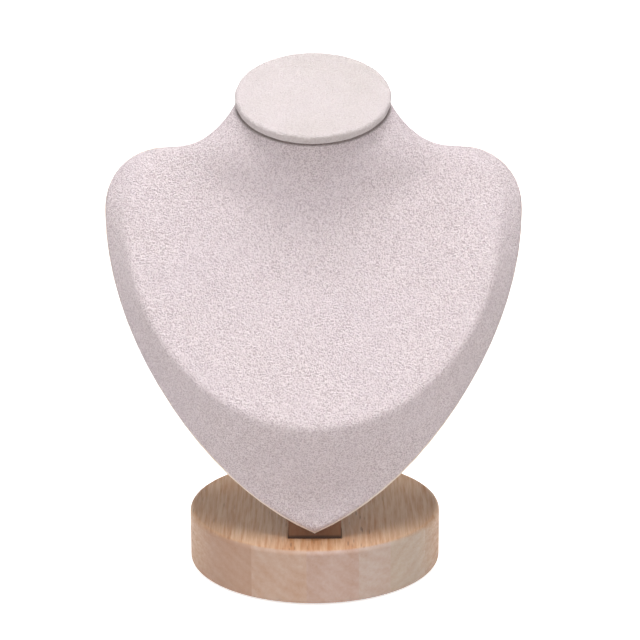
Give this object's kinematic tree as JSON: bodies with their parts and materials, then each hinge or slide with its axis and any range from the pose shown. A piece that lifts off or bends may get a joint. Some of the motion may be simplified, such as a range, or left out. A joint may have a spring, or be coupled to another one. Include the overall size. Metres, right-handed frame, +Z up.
{
  "type": "necklace stand",
  "caption": "Fabric-covered necklace bust with a bevelled chest and an oval cap, leaning back on a wooden post set in a round wooden base.",
  "frame": {"origin": "middle of the underside of the round base, on the surface that it stands on", "axes": "+Z up, -Y towards the viewer (the chest faces -Y and the bust leans back towards +Y), +X to the viewer's right"},
  "size_m": [0.1608, 0.1034, 0.2047],
  "materials": {
    "base_wood": "sanded and clear oiled rubberwood",
    "post_wood": "sanded and clear oiled rubberwood",
    "pad_felt": "pressed felt",
    "screw_steel": "zinc plated",
    "core_board": "raw moulded wood fibre",
    "microsuede": "napped microsuede with a fine pebble grain",
    "card": "pale grey board, cut edge"
  },
  "bodies": {
    "root": {"base": "base_wood", "base_pad": "pad_felt", "base_screw": "screw_steel", "post": "post_wood", "bust_screws": "screw_steel", "bust_core": "core_board", "bust_cover": "microsuede", "back_board": "card", "back_lining": "microsuede", "cap_board": "card", "cap_cover": "microsuede"}
  },
  "joints": []
}
